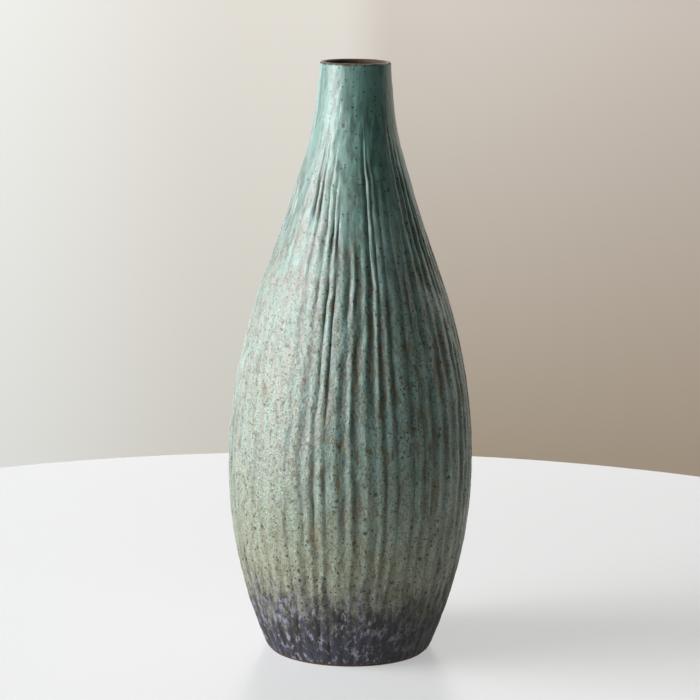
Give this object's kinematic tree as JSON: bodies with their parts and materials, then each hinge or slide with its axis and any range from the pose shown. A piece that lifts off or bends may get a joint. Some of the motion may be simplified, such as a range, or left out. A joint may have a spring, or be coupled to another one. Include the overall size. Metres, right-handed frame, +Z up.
{
  "type": "bottle vase",
  "caption": "Tall stoneware bottle vase with a full belly, narrow neck and carved upright flutes, green glaze over a dark foot; stands on a table and holds a few stems.",
  "frame": {"origin": "middle of the foot, on the table", "axes": "+Z up along the vase's axis to the mouth; the camera of the picture is on the -Y side"},
  "size_m": [0.1237, 0.1238, 0.3],
  "materials": {
    "clay": "bare fired stoneware, matt",
    "green_glaze": "satin celadon with iron specks",
    "foot_glaze": "satin dark glaze with pale flecks",
    "lip_glaze": "satin brown",
    "liner_glaze": "gloss celadon"
  },
  "bodies": {
    "root": {"clay_body": "clay", "green_glaze": "green_glaze", "foot_glaze": "foot_glaze", "lip_glaze": "lip_glaze", "liner_glaze": "liner_glaze"}
  },
  "joints": []
}
